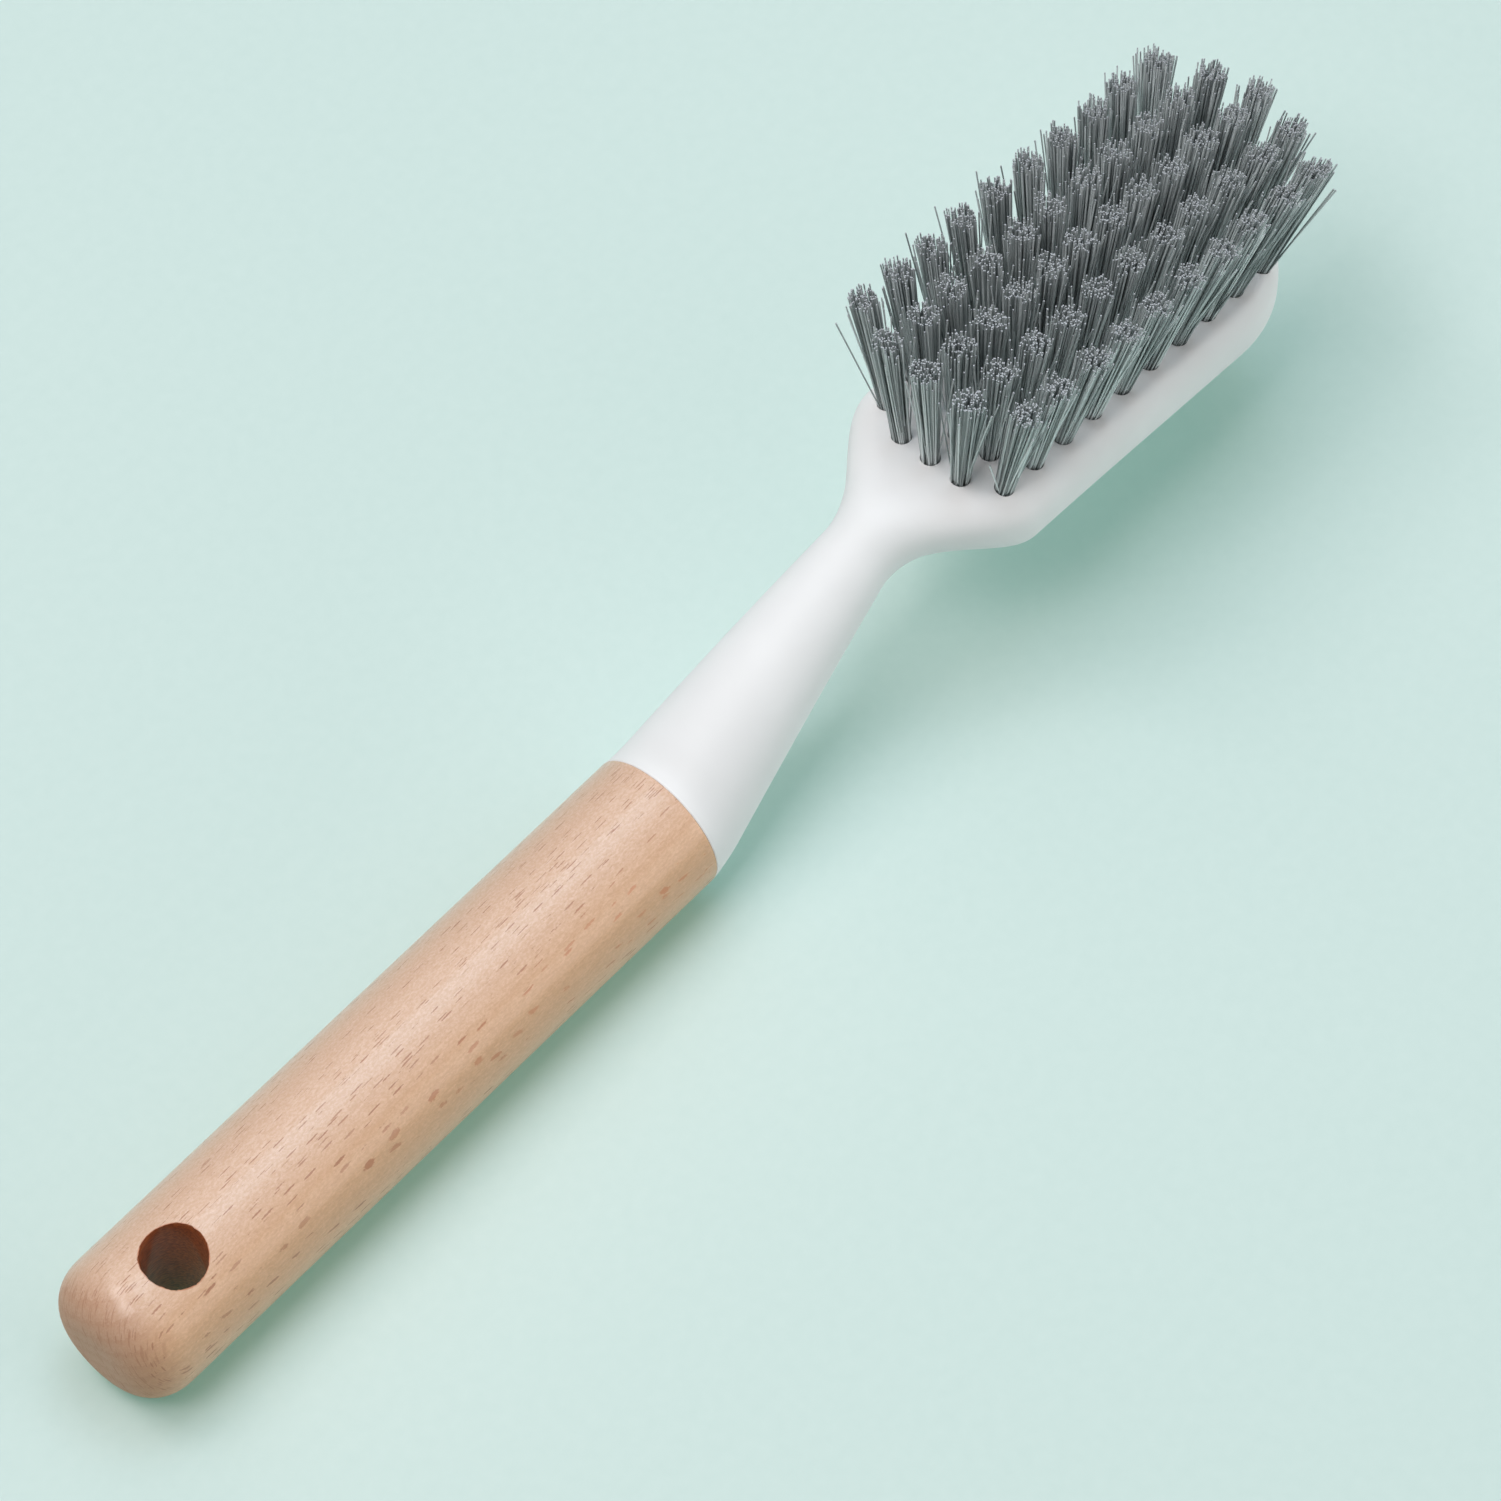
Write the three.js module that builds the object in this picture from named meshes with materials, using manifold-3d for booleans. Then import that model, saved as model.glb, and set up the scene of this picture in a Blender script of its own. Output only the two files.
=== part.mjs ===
// Shoe brush: a round beech handle on the tang of a white moulded head, tufted with grey nylon.
// Millimetres. The handle lies along X, the tufts face up and the brush lies on z = 0.
import * as THREE from "three";
import { ParametricGeometry } from "three/addons/geometries/ParametricGeometry.js";
import { mergeVertices } from "three/addons/utils/BufferGeometryUtils.js";
import Module from "manifold-3d";

const wasm = await Module();
wasm.setup();

const { degToRad, lerp, smoothstep } = THREE.MathUtils;

// Fits between pieces
const clearance = 0.3;
const anchorFit = 0.15;

// Beech handle, measured back from the joint at x = 0
const handleDia = 24;
const handleLength = 119.5;
const buttRadius = 8;
const jointBevel = 0.2;
const hangHoleDia = 10;
const hangHoleFromButt = 15.5;
const hangHoleTurn = degToRad(4);
const hangHoleOffset = 1.05;
const handleSides = 48;
const boreSides = 24;
const buttSteps = 8;

// Tang of the head and its blind socket in the handle
const tangDia = 12;
const tangLength = 32;
const tangRings = 5;
const tangRingHeight = 0.5;
const tangRingCrest = 0.5;
const tangRingFlat = 0.2;
const tangTipBevel = 1.5;
const socketEndGap = 1;
const socketDia = tangDia + 2 * clearance;
const socketDepth = tangLength + socketEndGap;

// Neck, a round taper that climbs from the handle to the head
const neckRise = degToRad(26.4);
const neckRiseStart = 3.25;
const neckRiseSoft = 3;
const neckLength = 52;
const neckDia = 10;
const neckBow = 0.9;
const neckFoot = neckLength / 6;
const neckFootSteps = 4;
const neckSteps = 5;

// Head, a flat paddle whose tuft face tips down towards its far end
const faceTilt = degToRad(6.2);
const faceFront = 55.6;
const faceHeight = 41.4;
const headLength = 81.7;
const headWidth = 34.6;
const headThickness = 11.4;
const headEndLength = 20.6;
const headEndRound = 5;
const headSquareness = 2.8;
const faceCrown = 2.8;
const faceCrownSlope = 0.16;
const backCrown = 2.9;
const edgeSoftness = 1.2;
const shoulderStart = 44.3;
const shoulderLength = 22.9;
const shoulderTopStart = 42.7;
const shoulderTopLength = 12.2;
const headSides = 36;
const shoulderSteps = 13;
const paddleSteps = 3;
const headEndSteps = 9;

// Tufts, five rows spread along the head between two margins
// The outer rows are set half a pitch back, and the middle row is a little denser and reaches further
const outerRow = 2;
const rowSpacing = 5.88;
const outerTufts = 10;
const innerTufts = outerTufts + 1;
const middleTufts = innerTufts + 1;
const tuftFirst = 10.13;
const tuftEndMargin = 10.1;
const tuftPitch = (headLength - tuftFirst - tuftEndMargin) / (outerTufts - 1);
const middleFirst = 6.6;
const middleEndMargin = 4.7;
const middlePitch = (headLength - middleFirst - middleEndMargin) / (middleTufts - 1);
const tuftHeight = 23.8;
const tuftUpright = 36.2;
const tuftLeanAcross = 4.46;
const tuftLeanAlong = 0.117;
const tuftHoleDia = 3.2;
const tuftHoleDepth = 6.5;
const tuftHoleSides = 8;
const tuftRootSides = 4;
const strandRing = 6;
const strandSides = 3;
const strandRadius = 0.45;
const strandRootRing = 1.05;
const strandTipRing = 2.2;
const strayTipRing = 4.4;
const strayArc = degToRad(30);
const strandUneven = 0.5;
const strandUnevenTurn = 3;

// Slices of the head's face that carry the tufts, and the shallow pocket they lie in
const sliceDepth = 1.2;
const fieldFront = 3.4;
const fieldEndMargin = 2.9;
const fieldBack = headLength - fieldEndMargin;
const fieldHalfWidth = 14;
const fieldFrontRound = 8.8;
const fieldBackRound = 8;
const fieldCurveSteps = 8;

// Flat wire anchors, each driven across a tuft where it folds at the bottom of its hole
const anchorLength = 3.8;
const anchorHeight = 1.8;
const anchorThickness = 0.4;
const anchorAboveFloor = 0.8;

// How far a cut runs past the surface it opens, and how close corners have to be to become one
const cutOvershoot = 1;
const weldDistance = 1e-4;

const handleRadius = handleDia / 2;
const ahead = new THREE.Vector3(0, 0, 1);

// Turns a geometry into a solid for joining and cutting.
function solid(geometry) {
  const plain = geometry.clone();
  plain.deleteAttribute("normal");
  plain.deleteAttribute("uv");
  const merged = mergeVertices(plain, weldDistance);
  const index = Array.from(merged.index.array);
  const triVerts = [];
  for (let i = 0; i < index.length; i += 3) {
    const [a, b, c] = index.slice(i, i + 3);
    if (a !== b && b !== c && c !== a) triVerts.push(a, b, c);
  }
  return new wasm.Manifold(
    new wasm.Mesh({
      numProp: 3,
      vertProperties: new Float32Array(merged.attributes.position.array),
      triVerts: new Uint32Array(triVerts),
    }),
  );
}

// Joins a list of solids into one.
function join(solids) {
  return solids.reduce((all, next) => all.add(next));
}

// Turns a finished solid back into a geometry.
function geometryOf(body) {
  const mesh = body.getMesh();
  return new THREE.BufferGeometry()
    .setAttribute("position", new THREE.BufferAttribute(mesh.vertProperties, 3))
    .setIndex(new THREE.BufferAttribute(mesh.triVerts, 1))
    .toNonIndexed();
}

// A turned solid about the X axis from (x, radius) corners that run from low x to high x.
function turned(corners, sides) {
  const profile = corners.map(([x, radius]) => new THREE.Vector2(radius, x));
  return solid(new THREE.LatheGeometry(profile, sides).rotateZ(-Math.PI / 2));
}

// A straight bar between two points, with the flats of a regular polygon.
function bar(from, to, radius, sides) {
  const run = to.clone().sub(from);
  const corner = (_, i) => {
    const turn = ((i + 0.5) / sides) * 2 * Math.PI;
    return new THREE.Vector2(radius * Math.cos(turn), radius * Math.sin(turn));
  };
  const outline = new THREE.Shape(Array.from({ length: sides }, corner));
  const geometry = new THREE.ExtrudeGeometry(outline, { depth: run.length(), bevelEnabled: false });
  geometry.applyQuaternion(new THREE.Quaternion().setFromUnitVectors(ahead, run.normalize()));
  return solid(geometry.translate(from.x, from.y, from.z));
}

// Evenly spaced values from start up to, not including, end.
function steps(start, end, count) {
  return Array.from({ length: count }, (_, i) => lerp(start, end, i / count));
}

// Handle: turned, with a rounded butt, bored for the tang and cross drilled for hanging.
function makeHandle() {
  const butt = -handleLength;
  const corners = [[butt, 0]];
  for (let i = 0; i <= buttSteps; i++) {
    const turn = (i / buttSteps) * (Math.PI / 2);
    const x = butt + buttRadius * (1 - Math.cos(turn));
    corners.push([x, handleRadius - buttRadius * (1 - Math.sin(turn))]);
  }
  corners.push([-jointBevel, handleRadius], [0, handleRadius - jointBevel], [0, 0]);
  const bore = socketDia / 2;
  const socketCorners = [[-socketDepth, 0], [-socketDepth, bore], [cutOvershoot, bore], [cutOvershoot, 0]];
  const socket = turned(socketCorners, boreSides);
  const across = new THREE.Vector3(0, -Math.sin(hangHoleTurn), Math.cos(hangHoleTurn));
  const hangHole = new THREE.Vector3(butt + hangHoleFromButt, -hangHoleOffset, 0);
  const low = hangHole.clone().addScaledVector(across, -handleDia);
  const high = hangHole.clone().addScaledVector(across, handleDia);
  const hole = bar(low, high, hangHoleDia / 2, boreSides);
  return turned(corners, handleSides).subtract(socket).subtract(hole).translate([0, 0, handleRadius]);
}

// Heights that shape the neck and head at a distance x beyond the joint.
function faceZ(x) {
  return faceHeight - (x - faceFront) * Math.tan(faceTilt);
}

function softRamp(d, soft) {
  if (d <= -soft) return 0;
  return d >= soft ? d : (d + soft) ** 2 / (4 * soft);
}

function softMin(a, b, soft) {
  const near = Math.max(soft - Math.abs(a - b), 0) / soft;
  return Math.min(a, b) - (near * near * soft) / 4;
}

function section(x) {
  const taper = Math.min(x / neckLength, 1);
  const radius = lerp(handleRadius, neckDia / 2, taper);
  const climb = smoothstep(x, 0, neckRiseSoft + neckRiseStart);
  const tall = radius * lerp(1, 1 / Math.cos(neckRise), climb);
  const rise = Math.tan(neckRise) * softRamp(x - neckRiseStart, neckRiseSoft);
  const centre = handleRadius + rise + neckBow * Math.sin(Math.PI * taper);
  const crown = softMin(faceCrownSlope * (x - faceFront), faceCrown, faceCrown);
  const wide = smoothstep(x, shoulderStart, shoulderStart + shoulderLength);
  const high = smoothstep(x, shoulderTopStart, shoulderTopStart + shoulderTopLength);
  const top = lerp(centre + tall, faceZ(x) + crown, high);
  const back = lerp(centre - tall, faceZ(x) - headThickness, wide);
  const bottom = back - backCrown * wide;
  const u = (x - faceFront) / Math.cos(faceTilt);
  const endAcross = Math.min(Math.max((u - headLength + headEndLength) / headEndLength, 0), 1);
  const endHigh = Math.min(Math.max((u - headLength + headEndRound) / headEndRound, 0), 1);
  const shrink = Math.sqrt(1 - endHigh * endHigh);
  return {
    halfWidth: lerp(radius, headWidth / 2, wide) * Math.sqrt(1 - endAcross * endAcross),
    middle: (top + bottom) / 2,
    halfHeight: ((top - bottom) / 2) * shrink,
    back: back - edgeSoftness * (1 - wide),
    power: 2 / lerp(2, headSquareness, wide),
  };
}

// Neck and head as one lofted skin, with the tuft face and the back planed flat.
function makeHeadSkin() {
  const headEnd = faceFront + headLength * Math.cos(faceTilt);
  const endStart = headEnd - headEndLength;
  const shoulderEnd = shoulderStart + shoulderLength;
  const stations = [0, 0];
  stations.push(...steps(jointBevel, neckFoot, neckFootSteps));
  stations.push(...steps(neckFoot, shoulderTopStart, neckSteps));
  stations.push(...steps(shoulderTopStart, shoulderEnd, shoulderSteps));
  stations.push(...steps(shoulderEnd, endStart, paddleSteps));
  for (let i = 0; i <= headEndSteps; i++) {
    const turn = (i / headEndSteps) * (Math.PI / 2);
    stations.push(lerp(endStart, headEnd, Math.sin(turn)));
  }
  const last = stations.length - 1;
  const skin = new ParametricGeometry(
    (around, along, point) => {
      const station = Math.round(along * last);
      const x = stations[station];
      const { halfWidth, middle, halfHeight, back, power } = section(x);
      const bevel = station === 0 ? 0 : 1 - Math.max(jointBevel - x, 0) / handleRadius;
      const angle = around * 2 * Math.PI;
      const c = Math.cos(angle);
      const s = Math.sin(angle);
      const y = halfWidth * Math.sign(c) * Math.abs(c) ** power * bevel;
      let z = middle + halfHeight * Math.sign(s) * Math.abs(s) ** power * bevel;
      z = softMin(z, faceZ(x), edgeSoftness);
      z = -softMin(-z, -back, edgeSoftness);
      point.set(x, y, z);
    },
    headSides,
    last,
  );
  return solid(skin);
}

// Tang: a ringed spigot that the handle is glued on to.
function makeTang() {
  const crest = tangDia / 2;
  const root = crest - tangRingHeight;
  const ringPitch = (tangLength - tangTipBevel) / tangRings;
  const ringsStart = tangTipBevel - tangLength;
  const corners = [[-tangLength, 0], [-tangLength, root - tangTipBevel], [ringsStart, root]];
  for (let i = 0; i < tangRings; i++) {
    const crestStart = ringsStart + (i + tangRingCrest) * ringPitch;
    const step = tangRingFlat * ringPitch;
    corners.push([crestStart, crest], [crestStart + step, crest], [crestStart + 2 * step, root]);
  }
  corners.push([tangTipBevel, root], [tangTipBevel, 0]);
  return turned(corners, boreSides).translate([0, 0, handleRadius]);
}

// Face frame: u runs along the tuft face, v across it and w out of it.
const faceFrame = new THREE.Matrix4()
  .makeRotationY(faceTilt)
  .setPosition(faceFront, 0, faceHeight);
const faceU = new THREE.Vector3(1, 0, 0).transformDirection(faceFrame);

function onFace(u, v, w) {
  return new THREE.Vector3(u, v, w).applyMatrix4(faceFrame);
}

// First place, pitch and count of the tufts in a row.
function rowOfTufts(row) {
  if (row === 0) return [middleFirst, middlePitch, middleTufts];
  if (Math.abs(row) === outerRow) return [tuftFirst, tuftPitch, outerTufts];
  return [tuftFirst - tuftPitch / 2, tuftPitch, innerTufts];
}

// Where each tuft stands, how far its trimmed end leans, and which way is off the edge of the brush.
function tuftPlaces() {
  const places = [];
  for (let row = -outerRow; row <= outerRow; row++) {
    const [first, pitch, count] = rowOfTufts(row);
    for (let i = 0; i < count; i++) {
      const u = first + i * pitch;
      const lean = [(u - tuftUpright) * tuftLeanAlong, (row / outerRow) * tuftLeanAcross];
      const along = Number(i === count - 1) - Number(i === 0);
      const edge = new THREE.Vector2(along, Math.trunc(row / outerRow));
      places.push({ row, place: i, u, v: row * rowSpacing, lean, edge });
    }
  }
  return places;
}

const tufts = tuftPlaces();

// A point on a tuft's own leaning axis at height w from the face.
function tuftAxis(tuft, w) {
  const share = w / tuftHeight;
  return onFace(tuft.u + tuft.lean[0] * share, tuft.v + tuft.lean[1] * share, w);
}

// Outline of the tuft field drawn in from the pocket wall by an inset.
function fieldShape(inset) {
  const front = fieldFront + fieldFrontRound;
  const back = fieldBack - fieldBackRound;
  const half = fieldHalfWidth - inset;
  const shape = new THREE.Shape();
  shape.moveTo(front, -half);
  shape.lineTo(back, -half);
  shape.absellipse(back, 0, fieldBackRound - inset, half, -Math.PI / 2, Math.PI / 2, false);
  shape.lineTo(front, half);
  shape.absellipse(front, 0, fieldFrontRound - inset, half, Math.PI / 2, (3 * Math.PI) / 2, false);
  return shape;
}

// A plate with a flat outline on the face, from depth low up to depth high.
function facePlate(shape, low, high) {
  const options = { depth: high - low, bevelEnabled: false, curveSegments: fieldCurveSteps };
  const geometry = new THREE.ExtrudeGeometry(shape, options).translate(0, 0, low);
  return solid(geometry.applyMatrix4(faceFrame));
}

// Each anchor as a box across its tuft's hole, grown all round by a fit.
function anchorBox(tuft, grow) {
  const floor = -tuftHoleDepth;
  const axis = tuftAxis(tuft, 0).sub(tuftAxis(tuft, floor)).normalize();
  const across = new THREE.Vector3().crossVectors(axis, faceU).normalize();
  const along = new THREE.Vector3().crossVectors(across, axis);
  const middle = tuftAxis(tuft, floor + anchorAboveFloor + anchorHeight / 2);
  const box = new THREE.BoxGeometry(
    anchorLength + 2 * grow,
    anchorThickness + 2 * grow,
    anchorHeight + 2 * grow,
  );
  const place = new THREE.Matrix4().makeBasis(along, across, axis).setPosition(middle);
  return box.applyMatrix4(place);
}

// Head: skin and tang joined, then pocketed, drilled and slotted for the tufts and their anchors.
function makeHead() {
  const pocketFloor = -sliceDepth - clearance;
  const cuts = [facePlate(fieldShape(0), pocketFloor, sliceDepth)];
  for (const tuft of tufts) {
    const top = tuftAxis(tuft, pocketFloor + clearance);
    cuts.push(bar(tuftAxis(tuft, -tuftHoleDepth), top, tuftHoleDia / 2, tuftHoleSides));
    cuts.push(solid(anchorBox(tuft, anchorFit)));
  }
  return cuts.reduce((body, cut) => body.subtract(cut), makeHeadSkin().add(makeTang()));
}

// One tuft: a folded root that fills its hole, and trimmed strands that fan out above the face.
function makeTuft(tuft) {
  const rootLow = tuftAxis(tuft, clearance - tuftHoleDepth);
  const rootRadius = tuftHoleDia / 2 - clearance;
  const root = bar(rootLow, tuftAxis(tuft, -sliceDepth / 2), rootRadius, tuftRootSides);
  const pieces = [root.subtract(solid(anchorBox(tuft, anchorFit)))];
  for (let i = 0; i <= strandRing; i++) {
    const ring = i === 0 ? 0 : 1;
    const turn = (i / strandRing) * 2 * Math.PI + tuft.place;
    const flat = new THREE.Vector2(Math.cos(turn), Math.sin(turn));
    if (tuft.row < 0) flat.y = -flat.y;
    const side = new THREE.Vector3(flat.x, flat.y, 0).transformDirection(faceFrame);
    const stray = tuft.edge.length() > 0 && tuft.edge.angleTo(flat) < strayArc;
    const trim = tuftHeight - strandUneven * Math.abs(Math.sin(i + strandUnevenTurn * tuft.place));
    const from = tuftAxis(tuft, -sliceDepth / 2).addScaledVector(side, ring * strandRootRing);
    const tipRing = stray ? strayTipRing : strandTipRing;
    const to = tuftAxis(tuft, trim).addScaledVector(side, ring * tipRing);
    pieces.push(bar(from, to, strandRadius, strandSides));
  }
  return join(pieces);
}

// Slices: strips of the face, each fused with the tufts of the rows it carries.
function makeSlice(rows, vLow, vHigh) {
  const gap = clearance / 2;
  const band = new THREE.Shape();
  band.moveTo(0, vLow + gap);
  band.lineTo(headLength, vLow + gap);
  band.lineTo(headLength, vHigh - gap);
  band.lineTo(0, vHigh - gap);
  const plate = facePlate(fieldShape(clearance), -sliceDepth, 0);
  const strip = plate.intersect(facePlate(band, -headThickness, headThickness));
  const carried = tufts.filter((tuft) => rows.includes(tuft.row));
  return join([strip, ...carried.map(makeTuft)]);
}

// Looks
const beech = new THREE.MeshStandardMaterial({ color: 0xddb99f, roughness: 0.5, metalness: 0 });
const moulding = new THREE.MeshStandardMaterial({ color: 0xe9eaec, roughness: 0.45, metalness: 0 });
const nylon = new THREE.MeshStandardMaterial({ color: 0x7d8184, roughness: 0.6, metalness: 0 });
const wire = new THREE.MeshStandardMaterial({ color: 0xb8b9ba, roughness: 0.3, metalness: 1 });

const brush = new THREE.Group();
brush.name = "shoe_brush";

function addNode(name, geometry, material) {
  const mesh = new THREE.Mesh(geometry, material.clone());
  mesh.name = name;
  brush.add(mesh);
}

addNode("wooden_handle", geometryOf(makeHandle()), beech);
addNode("brush_head", geometryOf(makeHead()), moulding);
const half = rowSpacing / 2;
addNode("bristles_left", geometryOf(makeSlice([1, 2], half, headWidth)), nylon);
addNode("bristles_middle", geometryOf(makeSlice([0], -half, half)), nylon);
addNode("bristles_right", geometryOf(makeSlice([-2, -1], -headWidth, -half)), nylon);
tufts.forEach((tuft, number) => {
  addNode("anchor_" + String(number + 1).padStart(2, "0"), anchorBox(tuft, 0), wire);
});

// The origin sits under the middle of the whole brush, on the surface it lies on.
const extent = new THREE.Box3().setFromObject(brush, true);
const middle = extent.getCenter(new THREE.Vector3());
brush.position.set(-middle.x, -middle.y, -extent.min.z);

export default brush;
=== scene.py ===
# %% [markdown]
# A shoe brush: a turned beech handle on a white moulded head, tufted with grey nylon.
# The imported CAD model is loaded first, and it fixes where every piece is and how big it is.
# Blender then adds what plain solids leave out: smooth skins, thousands of filaments and the finishes.

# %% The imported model
import math

import bmesh
import bpy
from mathutils import Matrix, Quaternion, Vector, noise


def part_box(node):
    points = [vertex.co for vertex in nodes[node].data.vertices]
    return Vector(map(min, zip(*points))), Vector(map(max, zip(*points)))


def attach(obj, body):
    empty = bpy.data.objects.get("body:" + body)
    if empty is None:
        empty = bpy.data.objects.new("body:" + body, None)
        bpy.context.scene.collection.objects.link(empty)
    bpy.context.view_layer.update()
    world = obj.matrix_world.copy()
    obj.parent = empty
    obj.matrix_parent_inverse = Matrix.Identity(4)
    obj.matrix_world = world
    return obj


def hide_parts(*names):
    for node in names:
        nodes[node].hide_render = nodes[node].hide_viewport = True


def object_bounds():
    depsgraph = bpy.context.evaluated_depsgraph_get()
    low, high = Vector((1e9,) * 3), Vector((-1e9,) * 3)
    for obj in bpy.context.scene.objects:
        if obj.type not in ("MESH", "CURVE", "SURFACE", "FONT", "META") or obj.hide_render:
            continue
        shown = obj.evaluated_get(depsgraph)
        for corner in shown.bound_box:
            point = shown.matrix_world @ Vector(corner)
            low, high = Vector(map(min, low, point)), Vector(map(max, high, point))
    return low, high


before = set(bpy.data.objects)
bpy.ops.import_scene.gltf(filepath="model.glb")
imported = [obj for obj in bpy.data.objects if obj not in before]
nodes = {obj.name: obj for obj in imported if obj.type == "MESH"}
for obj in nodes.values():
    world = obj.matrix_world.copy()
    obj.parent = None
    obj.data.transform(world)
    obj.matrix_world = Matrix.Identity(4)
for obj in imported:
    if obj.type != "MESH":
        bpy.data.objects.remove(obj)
cad_low, cad_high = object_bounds()
print("CAD nodes:", len(nodes), "box:", tuple(cad_low), tuple(cad_high))

# %% [markdown]
# Sizes are written in millimetres, because that is how a brush maker would give them.
# They are measured from the joint, where the neck meets the handle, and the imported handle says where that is.
# One helper turns such a point into the frame's metres, so each mesh is built in place and no object is moved.

# %% Millimetres from the joint
MM = 0.001
JOINT_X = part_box("wooden_handle")[1].x


def from_joint(x, y, z):
    """A point given in millimetres from the joint, as a point of the frame in metres."""
    return Vector((x * MM + JOINT_X, y * MM, z * MM))


print("joint at x =", round(JOINT_X, 6))

# %% [markdown]
# The camera comes before the pieces, so that every test render can be laid over the photograph.
# Its place was worked out from the handle's edges, the hole's rim and the feet and tips of the tufts.
# Azimuth and elevation say where it stands, and the roll turns the picture a little about its middle.

# %% Camera
CAMERA_AZIMUTH = -0.8043381
CAMERA_ELEVATION = 1.0136723
CAMERA_ROLL = -0.0397002
CAMERA_PLACE = from_joint(-334.045, -341.46, 797.68)
CAMERA_LENS = 146.18
CAMERA_NEAREST = 0.01
SENSOR_WIDTH = 36.0


def camera_axes(azimuth, elevation, roll):
    """The camera's right, up and back directions."""
    flat = math.cos(elevation)
    back = Vector((math.sin(azimuth) * flat, -math.cos(azimuth) * flat, math.sin(elevation)))
    right = Vector((math.cos(azimuth), math.sin(azimuth), 0))
    up = back.cross(right)
    turned_right = math.cos(roll) * right + math.sin(roll) * up
    turned_up = math.cos(roll) * up - math.sin(roll) * right
    return turned_right, turned_up, back


camera_data = bpy.data.cameras.new("photo_camera")
camera_data.lens = CAMERA_LENS
camera_data.sensor_width = SENSOR_WIDTH
camera_data.clip_start = CAMERA_NEAREST
camera = bpy.data.objects.new("photo_camera", camera_data)
bpy.context.scene.collection.objects.link(camera)
axes = camera_axes(CAMERA_AZIMUTH, CAMERA_ELEVATION, CAMERA_ROLL)
camera.matrix_world = Matrix.Translation(CAMERA_PLACE) @ Matrix(axes).transposed().to_4x4()
bpy.context.scene.camera = camera
print("camera looks along", tuple(round(c, 3) for c in -axes[2]))

# %% [markdown]
# Finishes and Geometry Nodes are both trees of nodes, and long sums are hard to read as nodes.
# This small class wraps one socket, so that a sum in Python adds the Math nodes that work it out.
# Its add method makes any other node: settings first, then the values or links of its sockets.

# %% Node trees as Python sums


def pick(sockets, key):
    """A socket by its place, its identifier or its name."""
    if isinstance(key, int):
        return sockets[key]
    for socket in sockets:
        if socket.identifier == key:
            return socket
    return next(socket for socket in sockets if socket.name == key and socket.enabled)


class Wire:
    """A socket of a node tree, on which Python's operators add nodes."""

    def __init__(self, tree, socket=None):
        self.tree = tree
        self.socket = socket

    def add(self, kind, values=None, out=0, **settings):
        node = self.tree.nodes.new(kind)
        for name, value in settings.items():
            setattr(node, name, value)
        for key, value in (values or {}).items():
            socket = pick(node.inputs, key)
            if isinstance(value, Wire):
                self.tree.links.new(value.socket, socket)
            else:
                socket.default_value = value
        return Wire(self.tree, pick(node.outputs, out))

    def into(self, node, key):
        self.tree.links.new(self.socket, pick(node.inputs, key))

    def is_vector(self):
        return self.socket.type == "VECTOR"

    def sum(self, operation, first, second=0.0):
        vectors = [isinstance(w, Vector) or isinstance(w, Wire) and w.is_vector() for w in (first, second)]
        if not any(vectors):
            return self.add("ShaderNodeMath", {0: first, 1: second}, operation=operation)
        if operation == "MULTIPLY" and not all(vectors):
            vector, number = (first, second) if vectors[0] else (second, first)
            return self.add("ShaderNodeVectorMath", {0: vector, "Scale": number}, operation="SCALE")
        return self.add("ShaderNodeVectorMath", {0: first, 1: second}, operation=operation)

    def __add__(self, other):
        return self.sum("ADD", self, other)

    def __radd__(self, other):
        return self.sum("ADD", other, self)

    def __sub__(self, other):
        return self.sum("SUBTRACT", self, other)

    def __rsub__(self, other):
        return self.sum("SUBTRACT", other, self)

    def __mul__(self, other):
        return self.sum("MULTIPLY", self, other)

    def __rmul__(self, other):
        return self.sum("MULTIPLY", other, self)

    def __truediv__(self, other):
        return self.sum("DIVIDE", self, other)

    def __mod__(self, other):
        return self.sum("MODULO", self, other)

    def __pow__(self, other):
        return self.sum("POWER", self, other)

    def __abs__(self):
        return self.sum("ABSOLUTE", self)

    def at_least(self, other):
        return self.sum("MAXIMUM", self, other)

    def at_most(self, other):
        return self.sum("MINIMUM", self, other)

    def over(self, other):
        return self.sum("GREATER_THAN", self, other)

    def part(self, letter):
        """The X, Y or Z of a vector."""
        return self.add("ShaderNodeSeparateXYZ", {"Vector": self}, out=letter)

    def step(self, low, high):
        """0 below low and 1 above high, with a smooth rise between them, or the other way round."""
        values = {"Value": self, "From Min": low, "From Max": high}
        return self.add("ShaderNodeMapRange", values, interpolation_type="SMOOTHSTEP")

    def mix(self, first, second):
        """A colour that goes from first to second as this value goes from 0 to 1."""
        values = {"Factor_Float": self, "A_Color": first, "B_Color": second}
        return self.add("ShaderNodeMix", values, out="Result_Color", data_type="RGBA")


# %% Colours and finishes


def srgb(red, green, blue):
    """A colour as a picture editor shows it, 0 to 255, in Blender's linear values."""
    shares = [c / 255 for c in (red, green, blue)]
    return (*(c / 12.92 if c <= 0.04045 else ((c + 0.055) / 1.055) ** 2.4 for c in shares), 1.0)


def new_finish(name, **constants):
    """A material with its Principled shader, whose constant sockets are set here."""
    material = bpy.data.materials.new(name)
    material.use_nodes = True
    shader = material.node_tree.nodes["Principled BSDF"]
    for socket, value in constants.items():
        shader.inputs[socket.replace("_", " ")].default_value = value
    return material, Wire(material.node_tree), shader


def object_place(bench):
    """Where a point of the surface is in the frame, in metres."""
    return bench.add("ShaderNodeTexCoord", out="Object")


def noise_at(bench, place, **values):
    return bench.add("ShaderNodeTexNoise", {"Vector": place, **values}, out="Fac")


def stretched(bench, place, amounts):
    """A place that is scaled by its own amount in each direction."""
    return bench.add("ShaderNodeMapping", {"Vector": place, "Scale": amounts})


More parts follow.
